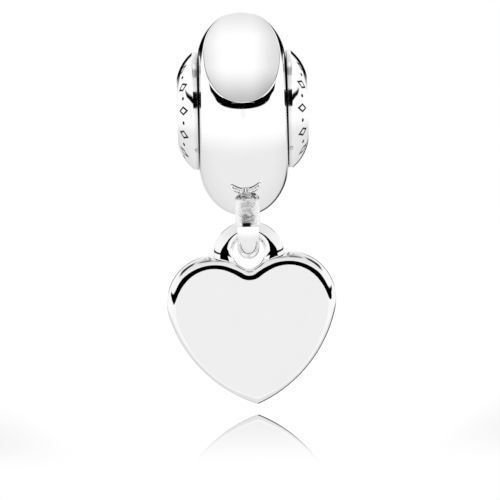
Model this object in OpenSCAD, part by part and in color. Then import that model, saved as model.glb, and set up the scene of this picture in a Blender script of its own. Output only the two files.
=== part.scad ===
// Dangle charm: a round bead with an oval polished facet and flared end caps,
// and a flat heart that hangs by its eyelet from a plain ring soldered to the bead.
// Millimetres. The origin is the middle of the bore, which runs along X. The facet and
// the ring face the front, which is -Y. +Z is up.

/* [Bead] */
// Outer radius of the bead's body
bead_r = 5.4; // [5.2:0.05:6]
// Distance of the body's middle below the bore axis
body_drop = 0.2; // [0:0.05:0.3]
// Width of the bead's body along the bore
body_w = 4.7; // [4.4:0.05:5.2]
// Height of the curved part of the body's section, from its flat sides to its crown
crown_h = 2.65; // [2.5:0.05:3]
// Radius of the section's arc at the crown
crown_arc_r = 2.12; // [2:0.02:2.16]

/* [Facet] */
// Radius of the almost flat facet, which is very slightly domed
facet_dome_r = 40; // [30:1:80]
// Distance of the facet's middle from the body's middle
facet_dist = 4.13; // [4:0.01:4.4]
// Angle of the facet's middle above the horizontal front
facet_up = 48.5; // [44:0.5:52]

/* [End caps] */
// Radius of the bore through the bead
bore_r = 1.45; // [1.2:0.05:1.6]
// Wall of the sleeve that lines the body
sleeve_wall = 0.3; // [0.2:0.05:0.4]
// Outer radius of the cap's rim
cap_r = 3.1; // [3:0.05:3.3]
// Distance from the bead's middle to the end of the cap
cap_end = 3.45; // [3.3:0.05:3.7]
// Width of the cap's straight rim
cap_rim_w = 0.25; // [0.2:0.05:0.35]
// Radius of the ring-shaped end face, where the cap's slope starts
cap_face_r = 1.75; // [1.65:0.05:1.9]
// Radius of the arc of the cap's domed slope
cap_dome_r = 2.4; // [2:0.1:4]
// Gap that parts a cap from the body
seam = 0.02; // [0.01:0.01:0.05]

/* [Engraved marks] */
// Lozenges round each cap, with a dot between each two
lozenges = 12; // [7:1:13]
// Height of a lozenge across the slope
lozenge_h = 0.9; // [0.6:0.05:1]
// Width of a lozenge round the cap
lozenge_w = 0.5; // [0.4:0.02:0.6]
// Width of the engraved line
line_w = 0.1; // [0.06:0.01:0.12]
// Depth of the engraving
engraving = 0.06; // [0.05:0.01:0.09]

/* [Hanging ring] */
// Outer radius of the ring
ring_r = 1.75; // [1.7:0.05:2]
// Diameter of the ring's wire
ring_wire = 1.15; // [1:0.05:1.15]
// Distance of the ring's middle in front of the bore axis
ring_front = 2.9; // [2.6:0.05:3.1]
// Distance of the ring's middle below the bore axis
ring_down = 6.14; // [6:0.02:6.3]
// Offset of the ring to the right of the bead's middle
ring_side = 0.1; // [0:0.05:0.3]

/* [Heart] */
// Thickness of the heart, whose edge is fully rounded
heart_t = 1.5; // [1.2:0.05:1.6]
// Distance of each lobe's highest point from the heart's middle line
lobe_x = 1.97; // [1.9:0.01:2.1]
// Radius of the lobe's outer arc
lobe_r = 2.5; // [2.4:0.05:2.6]
// Radius of the lobe's arc towards the cleft
cleft_arc_r = 3.4; // [3:0.1:4]
// Radius of the long arc from the lobe to the tip
side_arc_r = 7.2; // [7:0.1:7.6]
// Distance of the tip below the lobes' tops
heart_h = 7.96; // [7.8:0.02:8.1]
// Lean of the hanging heart, with its tip to the right
heart_lean = 2; // [0:0.5:3]

/* [Eyelet] */
// Radius of the eyelet's hole
eye_hole_r = 0.84; // [0.84:0.01:0.9]
// Thickness of the eyelet, which is round in section
eye_t = 0.87; // [0.8:0.01:0.9]
// Outer radius of the eyelet's arch
eye_arch_r = 1.9; // [1.85:0.05:2]
// Distance of the arch's middle below the hole's middle
eye_arch_drop = 0.21; // [0.15:0.01:0.3]
// Distance of the lobes' tops below the hole's middle
eye_to_lobes = 0.05; // [0:0.01:0.2]
// Play between the ring's wire and the top of the eyelet's hole
eye_play = 0.02; // [0.01:0.01:0.03]

/* [Hidden] */
$fn = 96;
eps = 0.01;
weld = 0.1;

// The body's section: a crown arc, and two flank arcs that run into it
flank_base_r = bead_r - crown_h;
crown_arc_base_r = bead_r - crown_arc_r;
arc_rise = crown_arc_base_r - flank_base_r;
flank_slack = body_w / 2 - crown_arc_r;
flank_arc_r = (pow(body_w / 2, 2) + pow(arc_rise, 2) - pow(crown_arc_r, 2)) / (2 * flank_slack);
flank_arc_x = flank_arc_r - body_w / 2;
flank_lean = atan2(arc_rise, flank_arc_x);
flank_top_r = crown_arc_base_r + crown_arc_r * sin(flank_lean) - weld;
body_bore_r = bore_r + sleeve_wall + seam;

// The cap's domed slope, an arc between the rim and the end face
cap_seat = body_w / 2 + seam;
slope_top = [cap_r, cap_seat + cap_rim_w];
slope_end = [cap_face_r, cap_end];
slope_mid = (slope_top + slope_end) / 2;
slope_dir = (slope_end - slope_top) / norm(slope_end - slope_top);
slope_in = [-slope_dir[1], slope_dir[0]];
slope_half = norm(slope_end - slope_top) / 2;
slope_sag = cap_dome_r - sqrt(pow(cap_dome_r, 2) - pow(slope_half, 2));
slope_centre = slope_mid + slope_in * (cap_dome_r - slope_sag);
mark_spot = slope_mid - slope_in * slope_sag;
mark_tilt = atan2(slope_dir[0], slope_dir[1]);

// The inner lozenge leaves a line of even width, and a mark's cutter stands clear of the slope
lozenge_inner = 1 - line_w * norm([lozenge_h, lozenge_w]) * 2 / (lozenge_h * lozenge_w);
cutter_h = 4 * engraving;

// The ring's wire at its lowest point carries the heart, which swings about it
wire_r = ring_wire / 2;
ring_mean_r = ring_r - wire_r;
hinge = [ring_side, -ring_front, -ring_down - ring_mean_r];
hole_drop = eye_hole_r - wire_r - eye_play;

// The heart's arcs, with the hole's middle as origin, seen from the front
edge_r = heart_t / 2;
lobes_z = -eye_to_lobes;
tip = [0, lobes_z - heart_h];
lobe_c = [lobe_x, lobes_z - lobe_r];
cleft_c = [lobe_x, lobes_z - cleft_arc_r];
to_tip = tip - lobe_c;
side_step = side_arc_r - lobe_r;
tip_dist = norm(to_tip);
side_turn = acos((pow(side_step, 2) + pow(tip_dist, 2) - pow(side_arc_r, 2)) / (2 * side_step * tip_dist));
side_angle = atan2(to_tip[1], to_tip[0]) - side_turn;
side_c = lobe_c + side_step * [cos(side_angle), sin(side_angle)];
join_dir = (lobe_c - side_c) / side_step;
join_angle = atan2(join_dir[1], join_dir[0]);

// Steps round the heart's edge, from its back face to its front face, and along each arc of its outline
edge_steps = 12;
cleft_steps = 6;
lobe_steps = 16;
side_steps = 12;

// The eyelet's ring, which the hole trims by a little
eye_r = eye_t / 2;
eye_trim = 0.02;
eye_mean_r = eye_hole_r + eye_r - eye_trim;

module along_x() {
    rotate([0, 90, 0]) children();
}

module body_section() {
    translate([crown_arc_base_r, 0]) circle(r = crown_arc_r);
    intersection() {
        translate([flank_base_r, flank_arc_x]) circle(r = flank_arc_r);
        translate([flank_base_r, -flank_arc_x]) circle(r = flank_arc_r);
        translate([flank_base_r - eps, -body_w]) square([flank_top_r - flank_base_r + eps, 2 * body_w]);
    }
    translate([0, -body_w / 2]) square([flank_base_r, body_w]);
}

module facet_dome() {
    rotate([90 - facet_up, 0, 0])
        translate([0, 0, facet_dist - facet_dome_r])
            sphere(r = facet_dome_r, $fn = 400);
}

module hanging_ring() {
    translate([ring_side, -ring_front, -ring_down])
        along_x() rotate_extrude() translate([ring_mean_r, 0]) circle(r = wire_r);
}

module bead_body() {
    color("gainsboro") {
        difference() {
            translate([0, 0, -body_drop])
                intersection() {
                    along_x() rotate_extrude() body_section();
                    facet_dome();
                }
            along_x() cylinder(r = body_bore_r, h = 2 * body_w, center = true);
        }
        hanging_ring();
    }
}

module cap_section() {
    intersection() {
        translate(slope_centre) circle(r = cap_dome_r);
        translate([bore_r, cap_seat]) square([cap_r - bore_r, cap_end - cap_seat]);
    }
    translate([bore_r, seam]) square([sleeve_wall, cap_seat]);
}

module lozenge(h, w) {
    polygon([[h / 2, 0], [0, w / 2], [-h / 2, 0], [0, -w / 2]]);
}

module lozenge_line() {
    difference() {
        lozenge(lozenge_h, lozenge_w);
        lozenge(lozenge_h * lozenge_inner, lozenge_w * lozenge_inner);
    }
}

module on_slope(turn) {
    rotate([0, 0, turn])
        translate([mark_spot[0], 0, mark_spot[1]])
            rotate([0, mark_tilt, 0])
                rotate([0, 90, 0])
                    translate([0, 0, -engraving])
                        linear_extrude(cutter_h) children();
}

module marks() {
    step = 360 / lozenges;
    for (i = [0 : lozenges - 1]) {
        on_slope(i * step) lozenge_line();
        on_slope((i + 0.5) * step) circle(r = line_w);
    }
}

module end_cap() {
    along_x()
        difference() {
            rotate_extrude() cap_section();
            marks();
        }
}

module end_cap_right() {
    color("silver") end_cap();
}

module end_cap_left() {
    color("silver") mirror([1, 0, 0]) end_cap();
}

// A flat disc with a fully rounded edge
module round_disc(c, r, half_t) {
    translate([c[0], c[1], 0])
        rotate_extrude() {
            translate([0, -half_t]) square([r - half_t, 2 * half_t]);
            intersection() {
                translate([r - half_t, 0]) circle(r = half_t);
                translate([r - half_t, -half_t]) square([half_t, 2 * half_t]);
            }
        }
}

// Points along an arc, without the one that it starts at
function arc(c, r, from, to, steps) =
    [for (i = [1 : steps]) let (a = from + (to - from) * i / steps) c + r * [cos(a), sin(a)]];

// Right half of the heart's outline, set in from its edge, from the cleft round to the tip
function half_outline(inset) =
    let (
        cleft_r = cleft_arc_r - inset,
        side_r = side_arc_r - inset,
        cleft_angle = acos(-cleft_c[0] / cleft_r),
        tip_angle = -acos(-side_c[0] / side_r)
    )
    concat(
        [cleft_c + cleft_r * [cos(cleft_angle), sin(cleft_angle)]],
        arc(cleft_c, cleft_r, cleft_angle, 90, cleft_steps),
        arc(lobe_c, lobe_r - inset, 90, join_angle, lobe_steps),
        arc(side_c, side_r, join_angle, tip_angle, side_steps)
    );

// The whole outline, whose left half mirrors the right one without its cleft and its tip
function outline(inset) =
    let (right = half_outline(inset), last = len(right) - 1)
    concat(right, [for (i = [last - 1 : -1 : 1]) [-right[i][0], right[i][1]]]);

module heart_plate() {
    rings = [
        for (i = [0 : edge_steps])
            let (a = -90 + 180 * i / edge_steps)
            [for (p = outline(edge_r * (1 - cos(a)))) [p[0], p[1], edge_r * sin(a)]]
    ];
    count = len(rings[0]);
    sides = [
        for (i = [0 : edge_steps - 1], j = [0 : count - 1])
            let (k = (j + 1) % count, low = i * count, high = (i + 1) * count)
            each [[low + j, low + k, high + j], [low + k, high + k, high + j]]
    ];
    bottom = [for (j = [count - 1 : -1 : 0]) j];
    top = [for (j = [0 : count - 1]) edge_steps * count + j];
    polyhedron(points = [for (ring = rings) each ring], faces = concat(sides, [bottom, top]));
}

module eyelet() {
    difference() {
        round_disc([0, -eye_arch_drop], eye_arch_r, eye_r);
        cylinder(r = eye_mean_r - weld / 2, h = 2 * eye_t, center = true);
    }
    rotate_extrude() translate([eye_mean_r, 0]) circle(r = eye_r);
}

module heart() {
    color("whitesmoke")
        translate(hinge)
            rotate([0, -heart_lean, 0])
                translate([0, 0, -hole_drop])
                    rotate([90, 0, 0])
                        difference() {
                            union() {
                                heart_plate();
                                eyelet();
                            }
                            cylinder(r = eye_hole_r, h = 2 * heart_t, center = true);
                        }
}

bead_body();
end_cap_left();
end_cap_right();
heart();
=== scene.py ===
import math
import random
from types import SimpleNamespace

import bmesh
import bpy
import numpy as np
from mathutils import Matrix, Vector, noise


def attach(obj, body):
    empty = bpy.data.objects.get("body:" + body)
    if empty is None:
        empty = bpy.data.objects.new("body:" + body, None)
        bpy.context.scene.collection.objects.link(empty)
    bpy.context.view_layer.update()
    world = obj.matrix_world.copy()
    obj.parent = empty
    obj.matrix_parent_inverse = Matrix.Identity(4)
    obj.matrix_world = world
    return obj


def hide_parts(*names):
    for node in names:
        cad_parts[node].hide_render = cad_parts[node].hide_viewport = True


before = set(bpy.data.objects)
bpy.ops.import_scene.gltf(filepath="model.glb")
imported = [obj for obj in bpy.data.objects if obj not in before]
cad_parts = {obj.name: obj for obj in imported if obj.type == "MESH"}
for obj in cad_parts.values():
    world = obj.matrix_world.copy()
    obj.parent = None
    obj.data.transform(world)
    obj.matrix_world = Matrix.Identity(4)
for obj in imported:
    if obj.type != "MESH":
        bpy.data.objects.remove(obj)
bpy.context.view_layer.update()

MM = 0.001
TAU = 2 * math.pi

# The bead's body. Lengths are in millimetres, with the bore's middle as origin
BEAD_R = 5.4
BODY_DROP = 0.2
BODY_HALF_W = 2.35
CROWN_H = 2.65
CROWN_ARC_R = 2.12
FACET_DOME_R = 40.0
FACET_DIST = 4.13
FACET_UP = math.radians(48.5)
FACET_EDGE = 0.08
FACET_EDGE_TURN = 0.5
BODY_BORE_R = 1.77
BODY_BORE_ROUND = 0.04
FACET_COLUMNS = 120
PLAIN_COLUMNS = 170
PLAIN_BUNCHING = 0.97
FACET_ROWS = 26
FLANK_ROWS = 34
FLANK_BUNCHING = 1.9

# Painted shade and oxide in the seam between body and cap, standing for the gap's shadow: how far in from
# the body's side, and out from the cap's rim
SEAM_SHADE_IN = (0.05, 0.015)
SEAM_SHADE_OUT = (0.42, 0.2)

# The end caps
BORE_R = 1.45
SLEEVE_R = 1.75
CAP_R = 3.1
CAP_END = 3.45
CAP_SEAT = 2.37
CAP_RIM_W = 0.25
CAP_FACE_R = 1.75
CAP_DOME_R = 2.4
SEAM = 0.02
SLEEVE_ROUND = 0.03
RIM_BACK_ROUND = 0.035
RIM_ROUND = 0.05
MOUTH_ROUND = 0.07
# Painted shade and oxide on the cap's seat side, standing for the seam's shadow: where it is gone and where
# it is full, out from the seat
CAP_SEAM_SHADE_UP_TO = (0.045, 0.012)
CAP_COLUMNS = 288
SLOPE_ROWS = 24

# The engraved marks
LOZENGES = 12
LOZENGE_H = 0.9
LOZENGE_W = 0.5
LINE_W = 0.1
ENGRAVING = 0.06
DOT_SIDES = 16
SUNK_FROM = 0.004

# The hanging ring and the swing axis of the heart
RING_MEAN_R = 1.175
WIRE_R = 0.575
RING_CENTRE = Vector((0.1, -2.9, -6.14))
RING_COLUMNS = 200
WIRE_SIDES = 64
HINGE = Vector((0.1, -2.9, -7.315))

# The solder over the ring's root, from one angle above the ring's front to another, in degrees
SOLDER_FROM = -3.5
SOLDER_TO = 113.0
SOLDER_COLUMNS = 110
SOLDER_SIDES = 84
SOLDER_ENDS = (0.03, 0.9)
SOLDER_SEED = 11
SOLDER_SUNK = 0.03
SOLDER_THICK = 0.1
SOLDER_LUMP = 0.075
SOLDER_GRIT = 0.07
SOLDER_GRIT_Z = (-5.0, -4.7)
COARSE_LUMPS = 2.2
COARSE_SHARE = 0.6
FINE_LUMPS = 4.5
FINE_SHARE = 0.4
FINE_SHIFT = Vector((3, 1, 7))
GRIT = 14
GRIT_SHIFT = Vector((9, 4, 2))

# The grains along the solder's top, and the black residue among them
GRAIN_TRIES = 160
GRAIN_ANGLES = (40, 92)
GRAIN_SPREAD = 1.5
GRAIN_OUT = 0.07
GRAIN_Z = (-4.8, -4.38)
GRAIN_R = (0.04, 0.08)
GRAIN_SQUASH = (0.7, 1.0)
GRAIN_UNEVEN = 0.12
GRAIN_LUMPS = 1.5
RESIDUE_RISE = 0.12
RESIDUE_MEAN = 0.55
RESIDUE_SPREAD = 1.2
RESIDUE_LUMPS = 9

# The painted shadow in the crease at the solder's lower lip: its top in radians above the lip, and its
# sides
LIP_SHADOW_TOP = (0.155, 0.125)
LIP_SHADOW_SHIFT = 0.08
LIP_SHADOW_HALF_W = (0.26, 0.19)

# The heart, with the eyelet's hole as origin
HOLE_DROP = 0.245
HEART_LEAN = math.radians(2)
EDGE_R = 0.75
LOBE_C = (1.97, -2.55)
LOBE_R = 2.5
CLEFT_C = (1.97, -3.45)
CLEFT_ARC_R = 3.4
CLEFT_FILLET = 0.22
SIDE_ARC_R = 7.2
TIP_Z = -8.01
TIP_FILLET = 0.3
HEART_STEPS = 20
CLEFT_FILLET_POINTS = 14
CLEFT_POINTS = 22
LOBE_POINTS = 60
SIDE_POINTS = 60
TIP_POINTS = 16

# The rounded shoulder's width for each direction of the border, in degrees from straight up
SHOULDER_TURNS = (0, 20, 60, 90, 115, 130)
SHOULDER_WIDTHS = (0.74, 0.74, 0.68, 0.52, 0.28, 0.22)
CLEFT_EXTRA_W = 0.13
CLEFT_REACH = (1.3, 0.3)
WIDTH_SMOOTHING = 60
HOLE_SMOOTHING = 30
HOLE_REST_SHARE = (1.0, 0.6)

# The cast side's draft on the lower border
DRAFT_W = 0.055
DRAFT_LEAN = math.radians(84)
DRAFT_ROUND_SHARE = 0.7
DRAFT_FROM = (85, 105)

# The eyelet
EYE_HOLE_R = 0.84
EYE_HOLE_GAP = 0.02
EYE_HALF_T = 0.435
ARCH_R = 1.9
ARCH_DROP = 0.21
EYE_INNER_W = 0.33
EYE_INNER_LESS = 0.05
EYE_INNER_LEAN = math.radians(35)
EYE_LESS_FROM = (0.5, 0.0)
EYE_BAND_W = 0.5
EYE_BAND_LESS = 0.12
EYE_BAND_MID = 0.5
EYE_BAND_MID_H = 0.62
EYE_RIM_H = 0.26
EYE_RIM_SHARE = 0.12
EYE_SLOPE = 0.12
EYE_SLOPE_FROM = 0.2
EYE_COLUMNS = 240
EYE_STEPS = 12
EYE_CREASE = 22


# Mesh helpers

def point_key(p):
    """A point's rounded place, which is the same for points that coincide."""
    return tuple(round(c, 6) for c in p)


def point_lookup(verts):
    """The number of the vertex at each place."""
    return {point_key(v): number for number, v in enumerate(verts)}


def face_outwards(mesh):
    """Turns all faces of a closed mesh outwards."""
    shape = bmesh.new()
    shape.from_mesh(mesh)
    bmesh.ops.recalc_face_normals(shape, faces=shape.faces)
    shape.to_mesh(mesh)
    shape.free()


def make_piece(name, verts, faces, body, replaced):
    """A mesh object from points in millimetres, which rides on a body and stands for a CAD node."""
    mesh = bpy.data.meshes.new(name)
    mesh.from_pydata([tuple(c * MM for c in v) for v in verts], [], faces)
    mesh.validate()
    face_outwards(mesh)
    mesh.update()
    mesh.shade_smooth()
    piece = bpy.data.objects.new(name, mesh)
    bpy.context.scene.collection.objects.link(piece)
    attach(piece, body)
    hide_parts(replaced)
    return piece


def weld_grid(rows, closed_u=True, closed_v=True):
    """Verts and faces of a grid of points, with coinciding points made one and collapsed faces left out."""
    verts = []
    index = []
    lookup = {}
    for row in rows:
        line = []
        for p in row:
            key = point_key(p)
            if key not in lookup:
                lookup[key] = len(verts)
                verts.append(tuple(p))
            line.append(lookup[key])
        index.append(line)
    faces = []
    rows_in_all, columns = len(index), len(index[0])
    for i in range(rows_in_all if closed_u else rows_in_all - 1):
        here, beyond = index[i], index[(i + 1) % rows_in_all]
        for j in range(columns if closed_v else columns - 1):
            k = (j + 1) % columns
            loop = []
            for v in (here[j], here[k], beyond[k], beyond[j]):
                if v not in loop:
                    loop.append(v)
            if len(loop) > 2:
                faces.append(loop)
    return verts, faces


def rounded_profile(corners, steps=6):
    """Points of a closed polyline whose corners are rounded. A corner is (r, x, radius)."""
    points = []
    count = len(corners)
    for i, (r, x, radius) in enumerate(corners):
        here = Vector((r, x))
        back = Vector(corners[i - 1][:2]) - here
        on = Vector(corners[(i + 1) % count][:2]) - here
        if radius <= 0 or back.length < 1e-6 or on.length < 1e-6:
            points.append(here)
            continue
        back.normalize()
        on.normalize()
        half = back.angle(on) / 2
        if abs(half - math.pi / 2) < 0.02:
            points.append(here)
            continue
        reach = radius / math.tan(half)
        start, end = here + back * reach, here + on * reach
        centre = here + (back + on).normalized() * (radius / math.sin(half))
        a0 = math.atan2(start.y - centre.y, start.x - centre.x)
        a1 = math.atan2(end.y - centre.y, end.x - centre.x)
        turn = (a1 - a0 + math.pi) % TAU - math.pi
        for s in range(steps + 1):
            a = a0 + turn * s / steps
            points.append(centre + Vector((math.cos(a), math.sin(a))) * radius)
    return points


def shade_and_oxide_mask(piece, amount):
    """Stores how far each point is darkened by painted shade and oxide, from a function of its place in
    millimetres.
    """
    layer = piece.data.attributes.new("shade_and_oxide", "FLOAT", "POINT")
    layer.data.foreach_set("value", [amount(v.co / MM) for v in piece.data.vertices])


def crease_by_angle(piece, degrees):
    """Keeps edges sharp where the faces beside them turn by more than an angle."""
    mesh = piece.data
    shape = bmesh.new()
    shape.from_mesh(mesh)
    for edge in shape.edges:
        edge.smooth = edge.calc_face_angle(0.0) < math.radians(degrees)
    shape.to_mesh(mesh)
    shape.free()


def fade(value, at_zero, at_one):
    """Smooth step from 0 to 1 between two places, in either direction."""
    t = min(max((value - at_zero) / (at_one - at_zero), 0.0), 1.0)
    return t * t * (3 - 2 * t)


def smooth_min(a, b, k):
    """The lower of two heights, with the edge between them rounded."""
    h = max(k - abs(a - b), 0.0) / k
    return min(a, b) - h * h * k / 4


def smoothed(values, rounds):
    """Values round a closed outline, averaged with their neighbours some times over."""
    count = len(values)
    for _ in range(rounds):
        values = [(values[j - 1] + 2 * values[j] + values[(j + 1) % count]) / 4 for j in range(count)]
    return values


def bisect(f, lo, hi, steps=50):
    """The place between lo, where f is above zero, and hi, where it is below."""
    for _ in range(steps):
        mid = (lo + hi) / 2
        if f(mid) > 0:
            lo = mid
        else:
            hi = mid
    return (lo + hi) / 2


# The bead's body: a crown arc that runs into a flatter arc on each flank

FLANK_BASE_R = BEAD_R - CROWN_H
CROWN_BASE_R = BEAD_R - CROWN_ARC_R
ARC_RISE = CROWN_BASE_R - FLANK_BASE_R
FLANK_ARC_R = (BODY_HALF_W ** 2 + ARC_RISE ** 2 - CROWN_ARC_R ** 2) / (2 * (BODY_HALF_W - CROWN_ARC_R))
FLANK_ARC_X = FLANK_ARC_R - BODY_HALF_W
FLANK_TURN = math.atan2(FLANK_ARC_X, ARC_RISE)
FACET_DIR = Vector((0, -math.cos(FACET_UP), math.sin(FACET_UP)))
BODY_MID = Vector((0, 0, -BODY_DROP))


def section_point(psi):
    """Radius and side offset of the body's section where its normal leans psi sideways."""
    if psi <= FLANK_TURN:
        return CROWN_BASE_R + CROWN_ARC_R * math.cos(psi), CROWN_ARC_R * math.sin(psi)
    return FLANK_BASE_R + FLANK_ARC_R * math.cos(psi), -FLANK_ARC_X + FLANK_ARC_R * math.sin(psi)


def revolved(r, x, theta):
    """A point at a radius and side offset, turned theta up from the front."""
    return Vector((x, -r * math.cos(theta), r * math.sin(theta)))


def facet_heights(p):
    """Height of a point of the crown along the facet's direction, and the dome's height there."""
    h = p.dot(FACET_DIR)
    lateral = (p - FACET_DIR * h).length
    return h, FACET_DIST - FACET_DOME_R + math.sqrt(FACET_DOME_R ** 2 - lateral ** 2)


def above_facet(theta, psi):
    """How far the unflattened crown stands above the facet."""
    h, dome = facet_heights(revolved(*section_point(psi), theta))
    return h - dome


def body_columns(low, high):
    """Angles round the bead, close together near both ends of the facet."""
    facet = []
    for i in range(FACET_COLUMNS):
        facet.append(low + (high - low) * (1 - math.cos(math.pi * i / FACET_COLUMNS)) / 2)
    rest = low + TAU - high
    plain = []
    for i in range(PLAIN_COLUMNS):
        t = i / PLAIN_COLUMNS
        plain.append(high + rest * (t - PLAIN_BUNCHING * math.sin(TAU * t) / TAU))
    return facet + plain


def make_body():
    """The round bead with its bore, cut to a very shallow dome at the facet."""
    low = bisect(lambda a: -above_facet(a, 0), 0, FACET_UP)
    high = bisect(lambda a: above_facet(a, 0), FACET_UP, math.pi * 0.8)
    inner = [1 - (1 - i / FACET_ROWS) ** 2 for i in range(FACET_ROWS + 1)]
    outer = [(i / FLANK_ROWS) ** FLANK_BUNCHING for i in range(1, FLANK_ROWS + 1)]
    rows = []
    for theta in body_columns(low, high):
        rim = 0.0
        if above_facet(theta, 0) > 1e-9:
            rim = bisect(lambda psi: above_facet(theta, psi), 0, math.pi / 2)
        leans = [rim * t for t in inner] + [rim + (math.pi / 2 - rim) * t for t in outer]
        edge = FACET_EDGE * (0.5 + 0.5 * fade(theta, low, low + FACET_EDGE_TURN))
        half = []
        for psi in leans:
            r, x = section_point(psi)
            p = revolved(r, x, theta)
            h, dome = facet_heights(p)
            half.append(p + FACET_DIR * (smooth_min(h, dome, edge) - h) + BODY_MID)
        half.append(revolved(BODY_BORE_R + 10 * BODY_BORE_ROUND, BODY_HALF_W, theta) + BODY_MID)
        half.append(revolved(BODY_BORE_R + BODY_BORE_ROUND, BODY_HALF_W, theta))
        half.append(revolved(BODY_BORE_R, BODY_HALF_W - BODY_BORE_ROUND, theta))
        half.append(revolved(BODY_BORE_R, BODY_HALF_W / 2, theta))
        left = [Vector((-p.x, p.y, p.z)) for p in half]
        rows.append(left[::-1] + half[1:])
    verts, faces = weld_grid(rows)
    piece = make_piece("bead_round_body", verts, faces, "bead", "bead_body")

    def painted_seam_shade(p):
        """Painted shade and oxide on the body's side, just outside the cap's rim, where the seam's shadow
        falls.
        """
        near_side = fade(abs(p.x), BODY_HALF_W - SEAM_SHADE_IN[0], BODY_HALF_W - SEAM_SHADE_IN[1])
        r = math.hypot(p.y, p.z)
        return near_side * fade(r, CAP_R + SEAM_SHADE_OUT[0], CAP_R + SEAM_SHADE_OUT[1])

    # The seam's painted shade and oxide go into the mask
    shade_and_oxide_mask(piece, painted_seam_shade)
    return piece


# The hanging ring and its soldered root

def ring_point(beta, reach):
    """A point of the ring's plane, beta up from its front, at a distance from its middle."""
    return RING_CENTRE + Vector((0, -reach * math.cos(beta), reach * math.sin(beta)))


def make_ring():
    """The plain round wire ring."""
    rows = []
    for i in range(RING_COLUMNS):
        beta = TAU * i / RING_COLUMNS
        row = []
        for j in range(WIRE_SIDES):
            a = TAU * j / WIRE_SIDES
            p = ring_point(beta, RING_MEAN_R + WIRE_R * math.cos(a))
            p.x += WIRE_R * math.sin(a)
            row.append(p)
        rows.append(row)
    verts, faces = weld_grid(rows)
    piece = make_piece("hanging_ring", verts, faces, "bead", "bead_body")
    piece.visible_glossy = False
    return piece


def small_ball(centre, radius, squash, rng):
    """Verts and faces of one solder grain: a slightly uneven low ball."""
    shape = bmesh.new()
    bmesh.ops.create_icosphere(shape, subdivisions=2, radius=radius)
    angle = rng.uniform(0, TAU)
    axis = Vector((rng.uniform(-1, 1), rng.uniform(-1, 1), 1)).normalized()
    turn = Matrix.Rotation(angle, 3, axis)
    verts = []
    for v in shape.verts:
        p = turn @ v.co
        uneven = 1 + GRAIN_UNEVEN * noise.noise(v.co * (GRAIN_LUMPS / radius))
        verts.append(centre + Vector((p.x, p.y, p.z * squash)) * uneven)
    faces = [[v.index for v in f.verts] for f in shape.faces]
    shape.free()
    return verts, faces


def solder_reach(spot, swell):
    """Distance of the solder's lumpy skin from the middle of the wire under a point of it."""
    coarse = noise.noise(spot * COARSE_LUMPS)
    fine = noise.noise(spot * FINE_LUMPS + FINE_SHIFT)
    grit = noise.noise(spot * GRIT + GRIT_SHIFT)
    lumps = coarse * COARSE_SHARE + fine * FINE_SHARE
    gritty = fade(spot.z, *SOLDER_GRIT_Z)
    return WIRE_R - SOLDER_SUNK + swell * (SOLDER_THICK + SOLDER_LUMP * lumps + SOLDER_GRIT * grit * gritty)


def wire_direction(beta, a):
    """Direction from the wire's middle to its skin, a round the wire from the ring's outside."""
    way = ring_point(beta, math.cos(a)) - ring_point(beta, 0)
    way.x += math.sin(a)
    return way


def solder_sleeve():
    """Verts and faces of the lumpy sleeve of solder, closed at both ends."""
    rows = []
    for i in range(SOLDER_COLUMNS + 1):
        t = i / SOLDER_COLUMNS
        beta = math.radians(SOLDER_FROM + (SOLDER_TO - SOLDER_FROM) * t)
        swell = fade(t, 0.0, SOLDER_ENDS[0]) * fade(t, 1.0, SOLDER_ENDS[1])
        middle = ring_point(beta, RING_MEAN_R)
        row = []
        for j in range(SOLDER_SIDES):
            way = wire_direction(beta, TAU * j / SOLDER_SIDES)
            row.append(middle + way * solder_reach(middle + way * WIRE_R, swell))
        rows.append(row)
    verts, faces = weld_grid(rows, closed_u=False)
    lookup = point_lookup(verts)
    for row in (rows[0], rows[-1]):
        faces.append([lookup[point_key(p)] for p in row])
    return verts, faces


def make_solder():
    """The lumpy solder that joins the ring to the bead, with rough grains along its top."""
    rng = random.Random(SOLDER_SEED)
    verts, faces = solder_sleeve()
    for _ in range(GRAIN_TRIES):
        beta = math.radians(rng.uniform(*GRAIN_ANGLES))
        way = wire_direction(beta, rng.uniform(-GRAIN_SPREAD, GRAIN_SPREAD))
        spot = ring_point(beta, RING_MEAN_R) + way * (WIRE_R + GRAIN_OUT)
        if not GRAIN_Z[0] < spot.z < GRAIN_Z[1]:
            continue
        radius = rng.uniform(*GRAIN_R)
        grain_verts, grain_faces = small_ball(spot, radius, rng.uniform(*GRAIN_SQUASH), rng)
        base = len(verts)
        verts += grain_verts
        faces += [[base + n for n in f] for f in grain_faces]
    piece = make_piece("ring_solder", verts, faces, "bead", "bead_body")
    lip = math.radians(SOLDER_FROM)

    def lip_shadow_and_residue(p):
        """Painted shadow in the crease at the lower lip, and black residue in patches among the grains."""
        beta = math.atan2(p.z - RING_CENTRE.z, -(p.y - RING_CENTRE.y))
        off_middle = abs(p.x - RING_CENTRE.x + LIP_SHADOW_SHIFT)
        # Painted shadow in the crease just above the lip
        painted_lip_shadow = fade(beta - lip, *LIP_SHADOW_TOP) * fade(off_middle, *LIP_SHADOW_HALF_W)
        among_grains = fade(p.z, GRAIN_Z[0], GRAIN_Z[0] + RESIDUE_RISE)
        patches = RESIDUE_MEAN + RESIDUE_SPREAD * noise.noise(p * RESIDUE_LUMPS)
        patches = min(1.0, max(0.0, patches))
        return max(painted_lip_shadow, among_grains * patches)

    shade_and_oxide_mask(piece, lip_shadow_and_residue)
    piece.visible_glossy = False
    return piece


# The end caps, whose slope is a shallow arc from the rim to the end face, as (radius, side offset)

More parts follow.
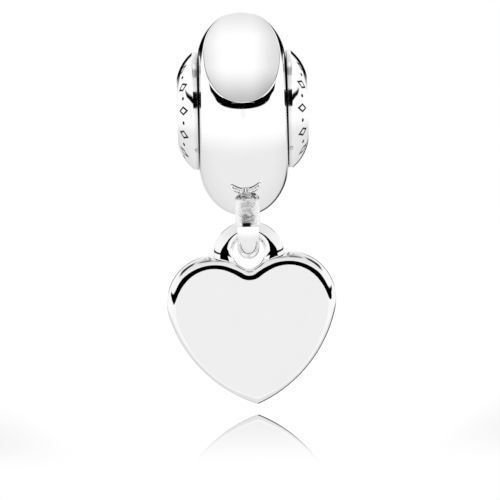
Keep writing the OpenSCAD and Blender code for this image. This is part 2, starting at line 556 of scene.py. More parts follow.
SLOPE_TOP = Vector((CAP_R, CAP_SEAT + CAP_RIM_W))
SLOPE_END = Vector((CAP_FACE_R, CAP_END))
SLOPE_ALONG = (SLOPE_END - SLOPE_TOP).normalized()
SLOPE_IN = Vector((-SLOPE_ALONG.y, SLOPE_ALONG.x))
SLOPE_SAG = CAP_DOME_R - math.sqrt(CAP_DOME_R ** 2 - ((SLOPE_END - SLOPE_TOP).length / 2) ** 2)
SLOPE_MID = (SLOPE_TOP + SLOPE_END) / 2
SLOPE_CENTRE = SLOPE_MID + SLOPE_IN * (CAP_DOME_R - SLOPE_SAG)


def cap_profile():
    """Closed section of a cap as (radius, distance from the bead's middle)."""
    a0 = math.atan2(SLOPE_TOP.y - SLOPE_CENTRE.y, SLOPE_TOP.x - SLOPE_CENTRE.x)
    a1 = math.atan2(SLOPE_END.y - SLOPE_CENTRE.y, SLOPE_END.x - SLOPE_CENTRE.x)
    slope = []
    for i in range(1, SLOPE_ROWS):
        a = a0 + (a1 - a0) * i / SLOPE_ROWS
        p = SLOPE_CENTRE + Vector((math.cos(a), math.sin(a))) * CAP_DOME_R
        slope.append((p.x, p.y, 0))
    corners = [
        (BORE_R, SEAM, 0),
        (SLEEVE_R, SEAM, SLEEVE_ROUND),
        (SLEEVE_R, CAP_SEAT, 0),
        (CAP_R, CAP_SEAT, RIM_BACK_ROUND),
        (SLOPE_TOP.x, SLOPE_TOP.y, RIM_ROUND),
        *slope,
        (SLOPE_END.x, SLOPE_END.y, RIM_ROUND),
        (BORE_R, CAP_END, MOUTH_ROUND),
    ]
    return rounded_profile(corners)


def lozenge(size):
    """Corners of a lozenge as (along the slope, round the cap)."""
    h, w = LOZENGE_H / 2 * size, LOZENGE_W / 2 * size
    return [(h, 0), (0, w), (-h, 0), (0, -w)]


def mark_cutters(side):
    """One mesh of all the cutters for a cap's engraved marks: outlined lozenges with dots between them."""
    inner_size = 1 - LINE_W * math.hypot(LOZENGE_H, LOZENGE_W) * 2 / (LOZENGE_H * LOZENGE_W)
    turns = [TAU * i / DOT_SIDES for i in range(DOT_SIDES)]
    dot = [(LINE_W * math.cos(a), LINE_W * math.sin(a)) for a in turns]
    verts = []
    faces = []

    def prism(theta, rings):
        """A cutter through the slope. One ring makes a solid prism, and two make a tube."""
        base = len(verts)
        spot = SLOPE_MID - SLOPE_IN * SLOPE_SAG
        radial = Vector((0, -math.cos(theta), math.sin(theta)))
        round_way = Vector((0, math.sin(theta), math.cos(theta)))
        axial = Vector((side, 0, 0))
        normal = radial * -SLOPE_IN.x + axial * -SLOPE_IN.y
        tangent = radial * SLOPE_ALONG.x + axial * SLOPE_ALONG.y
        middle = radial * spot.x + axial * spot.y
        for depth in (-ENGRAVING, 3 * ENGRAVING):
            for ring in rings:
                for h, w in ring:
                    verts.append(middle + normal * depth + tangent * h + round_way * w)
        count = sum(len(ring) for ring in rings)
        top = base + count
        start = 0
        for ring in rings:
            corners = len(ring)
            for k in range(corners):
                a, b = start + k, start + (k + 1) % corners
                faces.append([base + a, base + b, top + b, top + a])
            start += corners
        if len(rings) == 1:
            faces.append([base + k for k in range(count)][::-1])
            faces.append([top + k for k in range(count)])
            return
        m = len(rings[0])
        for k in range(m):
            following = (k + 1) % m
            faces.append([base + k, base + m + k, base + m + following, base + following])
            faces.append([top + k, top + following, top + m + following, top + m + k])

    step = TAU / LOZENGES
    for i in range(LOZENGES):
        prism(i * step, [lozenge(1.0), lozenge(inner_size)])
        prism((i + 0.5) * step, [dot])
    mesh = bpy.data.meshes.new("cutters")
    mesh.from_pydata([tuple(c * MM for c in v) for v in verts], [], faces)
    face_outwards(mesh)
    return bpy.data.objects.new("cutters", mesh)


def engrave(piece, cutters):
    """Cuts the marks into a cap's mesh."""
    bpy.context.scene.collection.objects.link(cutters)
    cut = piece.modifiers.new("engrave", "BOOLEAN")
    cut.operation = "DIFFERENCE"
    cut.solver = "EXACT"
    cut.object = cutters
    bpy.context.view_layer.update()
    graph = bpy.context.evaluated_depsgraph_get()
    mesh = bpy.data.meshes.new_from_object(piece.evaluated_get(graph))
    piece.modifiers.clear()
    piece.data = mesh
    bpy.data.objects.remove(cutters)


def profile_normals(profile):
    """Smooth outward normals of a closed profile's points, sharp corners being short arcs already."""
    count = len(profile)
    area = sum(profile[i - 1].x * profile[i].y - profile[i].x * profile[i - 1].y for i in range(count))
    sign = 1 if area > 0 else -1
    normals = []
    for i in range(count):
        here = Vector((0, 0))
        for a, b in ((profile[i - 1], profile[i]), (profile[i], profile[(i + 1) % count])):
            edge = b - a
            if edge.length > 1e-9:
                here += Vector((edge.y, -edge.x)) * sign / edge.length
        normals.append(here.normalized())
    return normals


def revolved_normals(profile, side):
    """A function that gives the smooth normal of the revolved profile near a point in metres."""
    points = np.array([(p.x, p.y) for p in profile])
    flat = np.array([(n.x, n.y) for n in profile_normals(profile)])
    flat_next = np.roll(flat, -1, axis=0)
    gap = np.roll(points, -1, axis=0) - points
    gap_sq = np.maximum((gap ** 2).sum(axis=1), 1e-12)

    def surface_normal(co):
        p = co / MM
        r = math.hypot(p.y, p.z)
        spot = np.array((r, p.x * side))
        t = np.clip(((spot - points) * gap).sum(axis=1) / gap_sq, 0, 1)
        near = ((points + gap * t[:, None] - spot) ** 2).sum(axis=1)
        k = int(near.argmin())
        n = flat[k] * (1 - t[k]) + flat_next[k] * t[k]
        n = n / np.linalg.norm(n)
        return (n[1] * side, n[0] * p.y / r, n[0] * p.z / r)

    return surface_normal


def is_sunk(face):
    """Whether a face of a cap belongs to an engraved mark."""
    p = face.center / MM
    r = math.hypot(p.y, p.z)
    on_slope = CAP_FACE_R < r < CAP_R - 2 * RIM_ROUND and abs(p.x) > CAP_SEAT + CAP_RIM_W
    below = CAP_DOME_R - (Vector((r, abs(p.x))) - SLOPE_CENTRE).length
    return on_slope and below > SUNK_FROM


def make_cap(side):
    """A flared end cap with its sleeve. Side is 1 on the right and -1 on the left."""
    side_name = "right" if side > 0 else "left"
    profile = cap_profile()
    rows = []
    for i in range(CAP_COLUMNS):
        theta = TAU * (i + 0.5) / CAP_COLUMNS * side
        rows.append([revolved(p.x, p.y * side, theta) for p in profile])
    verts, faces = weld_grid(rows)
    piece = make_piece(
        f"flared_cap_{side_name}", verts, faces, "bead", f"end_cap_{side_name}")
    engrave(piece, mark_cutters(side))

    mesh = piece.data
    surface_normal = revolved_normals(profile, side)
    cache = {}
    loops = [(0.0, 0.0, 0.0)] * len(mesh.loops)
    for face in mesh.polygons:
        sunk = is_sunk(face)
        face.material_index = 1 if sunk else 0
        for k in face.loop_indices:
            if sunk:
                loops[k] = tuple(face.normal)
                continue
            v = mesh.loops[k].vertex_index
            if v not in cache:
                cache[v] = surface_normal(mesh.vertices[v].co)
            loops[k] = cache[v]
    mesh.shade_smooth()
    mesh.normals_split_custom_set(loops)
    # Painted shade and oxide on the cap's side against the body, darkest at the seam
    dark, clean = CAP_SEAT + CAP_SEAM_SHADE_UP_TO[1], CAP_SEAT + CAP_SEAM_SHADE_UP_TO[0]
    shade_and_oxide_mask(piece, lambda p: fade(abs(p.x), clean, dark))
    return piece


# The heart

def heart_local(x, y, z):
    """A point of the heart's own frame, whose origin is the hole's middle, at rest."""
    lean_cos, lean_sin = math.cos(HEART_LEAN), math.sin(HEART_LEAN)
    z -= HOLE_DROP
    return Vector((
        HINGE.x + x * lean_cos - z * lean_sin,
        HINGE.y + y,
        HINGE.z + x * lean_sin + z * lean_cos,
    ))


def side_centre():
    """Centre of the long side arc, which runs on from the lobe's arc and ends at the tip."""
    to_tip = Vector((0 - LOBE_C[0], TIP_Z - LOBE_C[1]))
    step = SIDE_ARC_R - LOBE_R
    turn = math.acos((step ** 2 + to_tip.length ** 2 - SIDE_ARC_R ** 2) / (2 * step * to_tip.length))
    a = math.atan2(to_tip.y, to_tip.x) - turn
    return LOBE_C[0] + step * math.cos(a), LOBE_C[1] + step * math.sin(a)


SIDE_C = side_centre()


def outline_points():
    """One function of the inset for each point of the right half, from the cleft to the tip."""
    fillet_z = CLEFT_C[1] + math.sqrt((CLEFT_ARC_R + CLEFT_FILLET) ** 2 - CLEFT_C[0] ** 2)
    cleft_turn = math.atan2(CLEFT_C[1] - fillet_z, CLEFT_C[0])
    join = math.atan2(LOBE_C[1] - SIDE_C[1], LOBE_C[0] - SIDE_C[0])

    def on_arc(c, r, a):
        """A point of an arc from its centre, radius and angle."""
        return c[0] + r * math.cos(a), c[1] + r * math.sin(a)

    def tip(inset):
        """Height of the tip's rounding and the angle where the side arc runs into it."""
        z = SIDE_C[1] - math.sqrt((SIDE_ARC_R - inset - TIP_FILLET) ** 2 - SIDE_C[0] ** 2)
        return z, math.atan2(z - SIDE_C[1], -SIDE_C[0])

    def on_side(inset, t):
        return on_arc(SIDE_C, SIDE_ARC_R - inset, join + (tip(inset)[1] - join) * t)

    def on_tip(inset, t):
        z, turn = tip(inset)
        return on_arc((0, z), TIP_FILLET, turn + (-math.pi / 2 - turn) * t)

    points = []
    for i in range(CLEFT_FILLET_POINTS):
        a = -math.pi / 2 + (cleft_turn + math.pi / 2) * i / CLEFT_FILLET_POINTS
        points.append(lambda inset, a=a: on_arc((0, fillet_z), CLEFT_FILLET + inset, a))
    for i in range(CLEFT_POINTS):
        a = cleft_turn + math.pi + (-math.pi / 2 - cleft_turn) * i / CLEFT_POINTS
        points.append(lambda inset, a=a: on_arc(CLEFT_C, CLEFT_ARC_R - inset, a))
    for i in range(LOBE_POINTS):
        a = math.pi / 2 + (join - math.pi / 2) * i / LOBE_POINTS
        points.append(lambda inset, a=a: on_arc(LOBE_C, LOBE_R - inset, a))
    for i in range(SIDE_POINTS):
        points.append(lambda inset, t=i / SIDE_POINTS: on_side(inset, t))
    for i in range(TIP_POINTS + 1):
        points.append(lambda inset, t=i / TIP_POINTS: on_tip(inset, t))
    return points


def shoulder_width(x, out):
    """Width of the rounded shoulder at a point of the outline, from its outward direction."""
    turn = math.degrees(math.atan2(abs(out.x), out.y))
    width = float(np.interp(turn, SHOULDER_TURNS, SHOULDER_WIDTHS))
    return width + CLEFT_EXTRA_W * fade(abs(x), *CLEFT_REACH)


def hole_limit(border, out, width):
    """The width cut short where the shoulder would reach into the eyelet's hole."""
    limit = EYE_HOLE_R + EYE_HOLE_GAP
    x, z = border
    b = x * out[0] + z * out[1]
    disc = b * b - (x * x + z * z - limit * limit)
    if disc <= 0 or b >= 0:
        return width
    return min(width, -b - math.sqrt(disc))


def drafted_profile(a, width):
    """Inset and depth on the lower border: a small rounding, then the cast side's slight draft."""
    share = 1 - a / (math.pi / 2)
    bend = width - DRAFT_W
    if share <= DRAFT_ROUND_SHARE:
        t = DRAFT_LEAN * share / DRAFT_ROUND_SHARE
        return width - bend * math.sin(t) / math.sin(DRAFT_LEAN), EDGE_R - bend * (1 - math.cos(t))
    foot = EDGE_R - bend * (1 - math.cos(DRAFT_LEAN))
    rest = (1 - share) / (1 - DRAFT_ROUND_SHARE)
    return DRAFT_W * rest, foot * rest


def plate_normals(rings, verts, lookup):
    """Smooth normals of the plate's rounded border, square to the faces on its first and last ring."""
    last = len(rings) - 1
    normals = [(0, 0, 1)] * len(verts)
    for i, ring in enumerate(rings):
        for j, p in enumerate(ring):
            if i in (0, last):
                normal = Vector((0, -1 if i == 0 else 1, 0))
            else:
                across = rings[i + 1][j] - rings[i - 1][j]
                normal = (ring[(j + 1) % len(ring)] - ring[j - 1]).cross(across).normalized()
            normals[lookup[point_key(p)]] = tuple(normal)
    return normals


def make_heart_plate():
    """The flat heart with its rounded shoulders, from the front face round to the back face."""
    makers = outline_points()
    half = len(makers)
    outline = [f(0.0) for f in makers]
    outline += [(-x, z) for x, z in outline[-2:0:-1]]
    count = len(outline)

    def place(j, inset):
        """A point of the whole outline, moved inwards. The left half mirrors the right."""
        if j < half:
            return makers[j](inset)
        x, z = makers[count - j](inset)
        return -x, z

    turns = []
    for j in range(count):
        (x0, z0), (x1, z1) = outline[j - 1], outline[(j + 1) % count]
        turns.append(Vector((-(z1 - z0), x1 - x0)).normalized())
    widths = smoothed([shoulder_width(outline[j][0], turns[j]) for j in range(count)], WIDTH_SMOOTHING)
    limits = [hole_limit(place(j, widths[j]), turns[j], widths[j]) for j in range(count)]
    reaches = [min(a, b) for a, b in zip(limits, smoothed(limits, HOLE_SMOOTHING))]

    rings = []
    for i in range(2 * HEART_STEPS + 1):
        a = math.pi / 2 * (i / HEART_STEPS - 1)
        ring = []
        for j in range(count):
            width, reach = widths[j], reaches[j]
            p = Vector(place(j, width * (1 - math.cos(a))))
            rest = 0.0
            if reach < width - 0.001:
                p = Vector(place(j, width)) + turns[j] * reach * math.cos(a)
                rest = (EYE_HALF_T - EYE_HOLE_GAP) * fade(reach / width, *HOLE_REST_SHARE)
            depth = rest * min(1.0, abs(i - HEART_STEPS)) + (EDGE_R - rest) * abs(math.sin(a))
            straight = fade(math.degrees(math.atan2(abs(turns[j].x), turns[j].y)), *DRAFT_FROM)
            if straight > 0:
                inset, drafted = drafted_profile(abs(a), width)
                p = p.lerp(Vector(place(j, inset)), straight)
                depth += (drafted - depth) * straight
            ring.append(heart_local(p.x, math.copysign(depth, a), p.y))
        rings.append(ring)
    verts, faces = weld_grid(rings, closed_u=False)
    lookup = point_lookup(verts)
    for ring in (rings[0], rings[-1]):
        faces.append([lookup[point_key(p)] for p in ring])
    piece = make_piece("heart_plate", verts, faces, "heart", "heart")
    piece.data.normals_split_custom_set_from_vertices(plate_normals(rings, verts, lookup))
    return piece


def eyelet_profile(dx, dz):
    """The eyelet's section in one direction from the hole's middle, as (radius, share of its thickness)."""
    out = -ARCH_DROP * dz + math.sqrt(ARCH_R ** 2 - (ARCH_DROP * dx) ** 2)
    low = fade(dz, *EYE_LESS_FROM)
    inner_w = EYE_INNER_W - EYE_INNER_LESS * low
    band_w = EYE_BAND_W - EYE_BAND_LESS * low
    profile = []
    for s in range(EYE_STEPS + 1):
        t = math.pi / 2 + (EYE_INNER_LEAN - math.pi / 2) * s / EYE_STEPS
        share = (1 - math.sin(t)) / (1 - math.sin(EYE_INNER_LEAN))
        profile.append((EYE_HOLE_R + inner_w * share, math.cos(t) / math.cos(EYE_INNER_LEAN)))
    profile.append((out - band_w, 1.0))
    profile.append((out - band_w * EYE_BAND_MID, EYE_BAND_MID_H))
    edge = band_w * EYE_RIM_SHARE
    for s in range(EYE_STEPS + 1):
        t = math.pi / 4 + math.pi / 4 * s / EYE_STEPS
        inset = edge * (1 - math.sin(t)) / (1 - math.sqrt(0.5))
        profile.append((out - inset, EYE_RIM_H * math.cos(t) / math.sqrt(0.5)))
    return profile


def make_eyelet():
    """The cast eyelet: a chamfered outer band, a flat that widens towards the heart, and a rounded hole."""
    rows = []
    for i in range(EYE_COLUMNS):
        a = TAU * i / EYE_COLUMNS
        dx, dz = math.sin(a), math.cos(a)
        profile = eyelet_profile(dx, dz)
        row = []
        for sign in (-1, 1):
            side = []
            for r, share in profile:
                height = EYE_HALF_T - EYE_SLOPE * (r * dz - EYE_SLOPE_FROM)
                side.append(heart_local(r * dx, sign * share * height, r * dz))
            row += side if sign < 0 else side[-2:0:-1]
        rows.append(row)
    verts, faces = weld_grid(rows)
    piece = make_piece("heart_eyelet", verts, faces, "heart", "heart")
    crease_by_angle(piece, EYE_CREASE)
    piece.visible_glossy = False
    return piece


# Materials

HAZE_SCALE = 900
HAZE_DETAIL = 6
SCRATCH_SCALES = (9000, 9000, 500)
SCRATCH_DETAIL = 3
SCRATCH_STRENGTH = 0.02
SCRATCH_DEPTH = 0.00001
TONE_RANGE = (0.985, 1.01)
GLOSS_RANGE = (0.6, 1.5)
# Painted shade and oxide: the dark colour and the roughness where a piece's mask is set
SHADE_AND_OXIDE_COLOUR = (0.012, 0.011, 0.01, 1)
SHADE_AND_OXIDE_ROUGH = 0.45
FILL_GRAIN_SCALE = 12000
FILL_DARKEST = (0.004, 0.004, 0.004, 1)
FILL_PALEST = (0.03, 0.028, 0.026, 1)
FILL_ROUGH = (0.45, 0.7)
FILL_METALLIC = 0.6


def new_material(name):
    """An empty material, its nodes and its links."""
    mat = bpy.data.materials.new(name)
    mat.use_nodes = True
    mat.node_tree.nodes.clear()
    return mat, mat.node_tree.nodes, mat.node_tree.links


def new_metal(nodes, links, metallic):
    """A metal shader that is joined to the material's output, and the object's own coordinates."""
    out = nodes.new("ShaderNodeOutputMaterial")
    shader = nodes.new("ShaderNodeBsdfPrincipled")
    shader.inputs["Metallic"].default_value = metallic
    links.new(shader.outputs[0], out.inputs[0])
    return shader, nodes.new("ShaderNodeTexCoord").outputs["Object"]


def new_range(nodes, links, value, lo, hi):
    """A value from 0 to 1 spread between two others."""
    node = nodes.new("ShaderNodeMapRange")
    node.inputs["To Min"].default_value = lo
    node.inputs["To Max"].default_value = hi
    links.new(value, node.inputs["Value"])
    return node.outputs[0]


def silver(name, tone, rough):
    """Silver with a faint haze of fine polishing lines, an uneven gloss, and painted shade and oxide where
    it is masked.
    """
    mat, nodes, links = new_material(name)
    shader, coords = new_metal(nodes, links, 1.0)
    haze = nodes.new("ShaderNodeTexNoise")
    haze.inputs["Scale"].default_value = HAZE_SCALE
    haze.inputs["Detail"].default_value = HAZE_DETAIL
    links.new(coords, haze.inputs["Vector"])
    haze = haze.outputs["Fac"]
    # The mask of painted shade and oxide stored on the piece's points
    shade_and_oxide = nodes.new("ShaderNodeAttribute")
    shade_and_oxide.attribute_name = "shade_and_oxide"
    shade_and_oxide = shade_and_oxide.outputs["Fac"]

    tint = new_range(nodes, links, haze, tone * TONE_RANGE[0], tone * TONE_RANGE[1])
    join = nodes.new("ShaderNodeCombineColor")
    for channel in ("Red", "Green", "Blue"):
        links.new(tint, join.inputs[channel])
    darken = nodes.new("ShaderNodeMix")
    darken.data_type = "RGBA"
    darken.inputs["B"].default_value = SHADE_AND_OXIDE_COLOUR
    links.new(shade_and_oxide, darken.inputs["Factor"])
    links.new(join.outputs[0], darken.inputs["A"])
    links.new(darken.outputs["Result"], shader.inputs["Base Color"])

    gloss = new_range(nodes, links, haze, rough * GLOSS_RANGE[0], rough * GLOSS_RANGE[1])
    dull = nodes.new("ShaderNodeMix")
    dull.data_type = "FLOAT"
    dull.inputs["B"].default_value = SHADE_AND_OXIDE_ROUGH
    links.new(shade_and_oxide, dull.inputs["Factor"])
    links.new(gloss, dull.inputs["A"])
    links.new(dull.outputs["Result"], shader.inputs["Roughness"])

    lines = nodes.new("ShaderNodeMapping")
    lines.inputs["Scale"].default_value = SCRATCH_SCALES
    links.new(coords, lines.inputs["Vector"])
    fine = nodes.new("ShaderNodeTexNoise")
    fine.inputs["Scale"].default_value = 1.0
    fine.inputs["Detail"].default_value = SCRATCH_DETAIL
    links.new(lines.outputs[0], fine.inputs["Vector"])
    bump = nodes.new("ShaderNodeBump")
    bump.inputs["Strength"].default_value = SCRATCH_STRENGTH
    bump.inputs["Distance"].default_value = SCRATCH_DEPTH
    links.new(fine.outputs["Fac"], bump.inputs["Height"])
    links.new(bump.outputs[0], shader.inputs["Normal"])
    return mat


def black_fill(name):
    """Matt black oxide in the engraved marks, with a fine uneven grain."""
    mat, nodes, links = new_material(name)
    shader, coords = new_metal(nodes, links, FILL_METALLIC)
    grain = nodes.new("ShaderNodeTexNoise")
    grain.inputs["Scale"].default_value = FILL_GRAIN_SCALE
    links.new(coords, grain.inputs["Vector"])
    grain = grain.outputs["Fac"]
    tint = nodes.new("ShaderNodeValToRGB")
    tint.color_ramp.elements[0].color = FILL_DARKEST
    tint.color_ramp.elements[1].color = FILL_PALEST
    links.new(grain, tint.inputs["Fac"])
    links.new(tint.outputs["Color"], shader.inputs["Base Color"])
    links.new(new_range(nodes, links, grain, *FILL_ROUGH), shader.inputs["Roughness"])
    return mat


def dress(piece, *mats):
    """Gives a piece its materials and keeps each face's material number."""
    indices = [f.material_index for f in piece.data.polygons]
    piece.data.materials.clear()
    for mat in mats:
        piece.data.materials.append(mat)
    for face, index in zip(piece.data.polygons, indices):
        face.material_index = index


# The camera

CAMERA_AZIMUTH = math.radians(-0.5)
CAMERA_ROLL = math.radians(1.47)
CAMERA_DISTANCE = 600.0
SENSOR_MM = 36
FRAME_MM = 26.5
CLIP_M = (0.01, 10)
TARGET = Vector((0.207, 0, -7.43))


def make_camera():
    """A long lens at the height of the target, far enough away for a nearly parallel view."""
    data = bpy.data.cameras.new("camera")
    data.sensor_width = SENSOR_MM
    data.lens = SENSOR_MM * CAMERA_DISTANCE / FRAME_MM
    data.clip_start, data.clip_end = CLIP_M
    cam = bpy.data.objects.new("camera", data)
    bpy.context.scene.collection.objects.link(cam)
    back = Vector((math.sin(CAMERA_AZIMUTH), -math.cos(CAMERA_AZIMUTH), 0))
    level = Vector((math.cos(CAMERA_AZIMUTH), math.sin(CAMERA_AZIMUTH), 0))
    upright = Vector((0, 0, 1))
    roll_cos, roll_sin = math.cos(CAMERA_ROLL), math.sin(CAMERA_ROLL)
    right = level * roll_cos - upright * roll_sin
    up = level * roll_sin + upright * roll_cos
    place = (TARGET + back * CAMERA_DISTANCE) * MM
    cam.matrix_world = Matrix((
        (right.x, up.x, back.x, place.x),
        (right.y, up.y, back.y, place.y),
        (right.z, up.z, back.z, place.z),
        (0, 0, 0, 1),
    ))
    bpy.context.scene.camera = cam


# The light: a white tent with dark parts, whose tone is worked out from the direction in degrees

# Pale walls: the tone at two tilts of the mirroring face, round the lens, and low down behind
WALL_TILTS = (-54, -18)
WALL_TONES = (0.86, 1.05)
LENS_EDGE = (9, 5)
LENS_TONE = 0.96
LOW_BACK_RHO = (100, 160)
LOW_BACK_TILT = (-40, -60)
LOW_BACK_TONE = 0.78

# Soft light overhead with a bright middle. Fades: measure, from, to, taken off at each
OVERHEAD_EL = (25, 60)
OVERHEAD_TONE = 0.86
BRIGHT_EL = (66, 72)
BRIGHT_TONE = 1.06
BRIGHT_FADES = (
    ("x_off", 0.02, 0.075, 0.0, 0.3),
    ("y", -0.07, 0.1, 0.55, 0.0),
    ("y", 0.19, 0.34, 0.0, 0.25),
)

# The dark opening above the lens. Its borders are elevations at az 0, which bend with az squared
OPENING_LOW = 4.5
OPENING_LOW_BEND = 8.7 / 112 ** 2
OPENING_LOW_MOST = 10.0
OPENING_HIGH = 38.0
OPENING_HIGH_BEND = -9.0 / 66 ** 2
OPENING_HIGH_LEAST = 17.0
OPENING_ENDS = (108, 119)
OPENING_LOW_SOFT = 0.4
OPENING_HIGH_SOFT = 1.5
# Steps in the borders: from az, to az, rise
LOW_STEPS = ((80, 100, 2.4), (100, 116, 3.6))
HIGH_STEPS = ((48, 60, -11.0), (66, 84, -9.0))

# Darker patches: tone, then two measures, each with its start, its end and both borders' softness.
# A span that starts far below 0 has no start
PATCHES = (
    (0.03, ("el", 40, 64, 3, 3), ("az", 88, 128, 6, 6)),
    (0.0, ("rho", 150, 176, 4, 1.5), ("side", 18, 76, 10, 8)),
    (0.12, ("rho", 170, 178.3, 2, 0.5), ("side", -100, 55, 1, 15)),
    (0.7, ("rho", 158, 178, 6, 1), ("side", 84, 165, 6, 6)),
    (0.05, ("rho", 163, 177, 3, 2), ("phi", 100, 178, 6, 2)),
)


class Nodes:
    """Short calls for chains of math nodes."""

    def __init__(self, tree):
        self.nodes = tree.nodes
        self.links = tree.links

    def put(self, socket, value):
        """Sets a socket to a number, or links it."""
        if isinstance(value, (int, float)):
            socket.default_value = value
        else:
            self.links.new(value, socket)

    def math(self, kind, a, b=0.0):
        """The result of one operation on numbers or links."""
        node = self.nodes.new("ShaderNodeMath")
        node.operation = kind
        self.put(node.inputs[0], a)
        self.put(node.inputs[1], b)
        return node.outputs[0]

    def ramp(self, value, lo, hi, at_lo=0.0, at_hi=1.0):
        """Smooth step of a value between two places."""
        node = self.nodes.new("ShaderNodeMapRange")
        node.interpolation_type = "SMOOTHSTEP"
        self.put(node.inputs["Value"], value)
        node.inputs["From Min"].default_value = lo
        node.inputs["From Max"].default_value = hi
        node.inputs["To Min"].default_value = at_lo
        node.inputs["To Max"].default_value = at_hi
        return node.outputs[0]

    def band(self, value, lo, hi, soft_lo, soft_hi):
        """1 between two places and 0 beyond them, with soft borders."""
        rise = self.ramp(value, lo - soft_lo, lo + soft_lo)
        fall = self.ramp(value, hi - soft_hi, hi + soft_hi, 1.0, 0.0)
        return self.math("MULTIPLY", rise, fall)

    def toward(self, base, mask, value):
        """base where mask is 0, value where it is 1."""
        step = self.math("SUBTRACT", value, base)
        return self.math("ADD", base, self.math("MULTIPLY", step, mask))


def sky_measures(n, x, y, z):
    """Measures of a direction, with the lens at -y: mostly angles in degrees.

    rho is the angle from the lens, phi goes round the lens from straight up, and side is phi without
    its sign. el is the elevation, and az goes sideways from the lens. tilt is twice the up or down
    tilt of the face that mirrors the direction to the lens.
    """
    deg = 180 / math.pi
    to_lens = n.math("MULTIPLY", y, -1.0)
    phi = n.math("MULTIPLY", n.math("ARCTAN2", x, z), deg)
    return SimpleNamespace(
        y=y,
        x_off=n.math("ABSOLUTE", x),
        rho=n.math("MULTIPLY", n.math("ARCCOSINE", to_lens), deg),
        phi=phi,
        side=n.math("ABSOLUTE", phi),
        el=n.math("MULTIPLY", n.math("ARCSINE", z), deg),
        az=n.math("MULTIPLY", n.math("ABSOLUTE", n.math("ARCTAN2", x, to_lens)), deg),
        tilt=n.math("MULTIPLY", n.math("ARCTAN2", z, n.math("SUBTRACT", 1.0, y)), 2 * deg),
    )


def pale_walls(n, sky):
    """Tone of the tent's walls and of the light overhead."""
    tone = n.ramp(sky.tilt, *WALL_TILTS, *WALL_TONES)
    tone = n.toward(tone, n.ramp(sky.rho, *LENS_EDGE), LENS_TONE)
    low_back = n.math("MULTIPLY", n.ramp(sky.rho, *LOW_BACK_RHO), n.ramp(sky.tilt, *LOW_BACK_TILT))
    tone = n.toward(tone, low_back, LOW_BACK_TONE)
    tone = n.toward(tone, n.ramp(sky.el, *OVERHEAD_EL), OVERHEAD_TONE)
    bright = BRIGHT_TONE
    for measure, *fade_range in BRIGHT_FADES:
        bright = n.math("SUBTRACT", bright, n.ramp(getattr(sky, measure), *fade_range))
    return n.toward(tone, n.ramp(sky.el, *BRIGHT_EL), bright)


def dark_opening(n, sky):
    """1 inside the dark opening above the lens."""
    az_sq = n.math("MULTIPLY", sky.az, sky.az)
    low = n.math("ADD", OPENING_LOW, n.math("MULTIPLY", az_sq, OPENING_LOW_BEND))
    low = n.math("MINIMUM", low, OPENING_LOW_MOST)
    for start, end, rise in LOW_STEPS:
        low = n.math("ADD", low, n.ramp(sky.az, start, end, 0.0, rise))
    high = n.math("ADD", OPENING_HIGH, n.math("MULTIPLY", az_sq, OPENING_HIGH_BEND))
    for start, end, rise in HIGH_STEPS:
        high = n.math("ADD", high, n.ramp(sky.az, start, end, 0.0, rise))
    high = n.math("MAXIMUM", high, OPENING_HIGH_LEAST)
    above = n.ramp(n.math("SUBTRACT", sky.el, low), -OPENING_LOW_SOFT, OPENING_LOW_SOFT)
    below = n.ramp(n.math("SUBTRACT", high, sky.el), -OPENING_HIGH_SOFT, OPENING_HIGH_SOFT)
    between = n.math("MULTIPLY", above, below)
    return n.math("MULTIPLY", between, n.ramp(sky.az, *OPENING_ENDS, 1.0, 0.0))


def make_world():
    """The tent, plain white where the camera looks at it straight."""
    world = bpy.data.worlds.new("tent")
    bpy.context.scene.world = world
    world.use_nodes = True
    tree = world.node_tree
    tree.nodes.clear()
    n = Nodes(tree)
    out = tree.nodes.new("ShaderNodeOutputWorld")
    background = tree.nodes.new("ShaderNodeBackground")
    background.inputs["Strength"].default_value = 1.0
    tree.links.new(background.outputs[0], out.inputs[0])
    coords = tree.nodes.new("ShaderNodeTexCoord")
    turn = tree.nodes.new("ShaderNodeVectorRotate")
    turn.rotation_type = "Z_AXIS"
    turn.inputs["Angle"].default_value = -CAMERA_AZIMUTH
    tree.links.new(coords.outputs["Generated"], turn.inputs["Vector"])
    split = tree.nodes.new("ShaderNodeSeparateXYZ")
    tree.links.new(turn.outputs[0], split.inputs[0])

    sky = sky_measures(n, *split.outputs)
    tone = pale_walls(n, sky)
    tone = n.toward(tone, dark_opening(n, sky), 0.0)
    for patch_tone, first, second in PATCHES:
        masks = [n.band(getattr(sky, measure), *span) for measure, *span in (first, second)]
        tone = n.toward(tone, n.math("MULTIPLY", *masks), patch_tone)
    path = tree.nodes.new("ShaderNodeLightPath")
    tone = n.toward(tone, path.outputs["Is Camera Ray"], 1.0)
    tree.links.new(tone, background.inputs["Color"])


# The floor

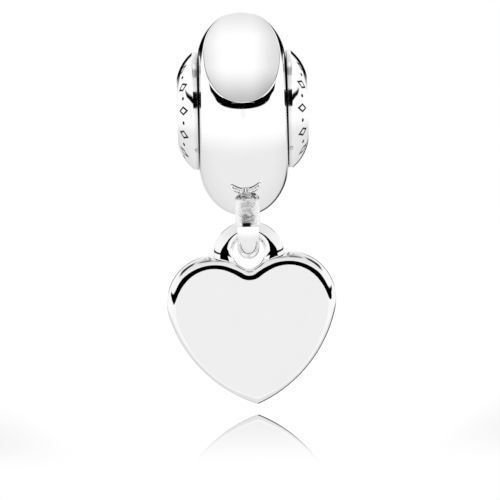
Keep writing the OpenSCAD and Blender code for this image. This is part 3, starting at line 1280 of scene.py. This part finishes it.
FLOOR_Z = -15.83
FLOOR_SIZE = 4000.0
FLOOR_MATT_FACING = 1 - 0.0192
FLOOR_GLOSS_FACING = 1 - 0.0146
FLOOR_GLOSS = 0.95


def make_floor():
    """A pale floor that mirrors only at the flattest angles, as polished plastic does."""
    half = FLOOR_SIZE / 2
    corners = [(x * half, y * half, FLOOR_Z) for x, y in ((-1, -1), (1, -1), (1, 1), (-1, 1))]
    mesh = bpy.data.meshes.new("floor")
    mesh.from_pydata([tuple(c * MM for c in v) for v in corners], [], [(0, 1, 2, 3)])
    floor = bpy.data.objects.new("floor", mesh)
    bpy.context.scene.collection.objects.link(floor)
    mat, nodes, links = new_material("pale_floor")
    n = Nodes(mat.node_tree)
    out = nodes.new("ShaderNodeOutputMaterial")
    pale = nodes.new("ShaderNodeEmission")
    pale.inputs["Strength"].default_value = 1.0
    gloss = nodes.new("ShaderNodeBsdfGlossy")
    gloss.inputs["Roughness"].default_value = 0.0
    gloss.inputs["Color"].default_value = (1, 1, 1, 1)
    facing = nodes.new("ShaderNodeLayerWeight")
    facing.inputs["Blend"].default_value = 0.5
    share = n.ramp(facing.outputs["Facing"], FLOOR_MATT_FACING, FLOOR_GLOSS_FACING, 0.0, FLOOR_GLOSS)
    mix = nodes.new("ShaderNodeMixShader")
    links.new(share, mix.inputs[0])
    links.new(pale.outputs[0], mix.inputs[1])
    links.new(gloss.outputs[0], mix.inputs[2])
    links.new(mix.outputs[0], out.inputs[0])
    mesh.materials.append(mat)
    floor.visible_glossy = False
    floor.visible_diffuse = False


make_camera()
make_world()
make_floor()
bpy.context.scene.view_settings.view_transform = "Standard"
bpy.context.scene.view_settings.look = "None"

bead_polish = silver("bead_polish", 0.97, 0.03)
cap_polish = silver("cap_polish", 0.95, 0.05)
heart_polish = silver("heart_polish", 0.9, 0.03)
solder_silver = silver("solder_silver", 0.98, 0.37)
mark_oxide = black_fill("mark_oxide")

dress(make_body(), bead_polish)
dress(make_ring(), bead_polish)
dress(make_solder(), solder_silver)
for side in (1, -1):
    dress(make_cap(side), cap_polish, mark_oxide)
dress(make_heart_plate(), heart_polish)
dress(make_eyelet(), heart_polish)
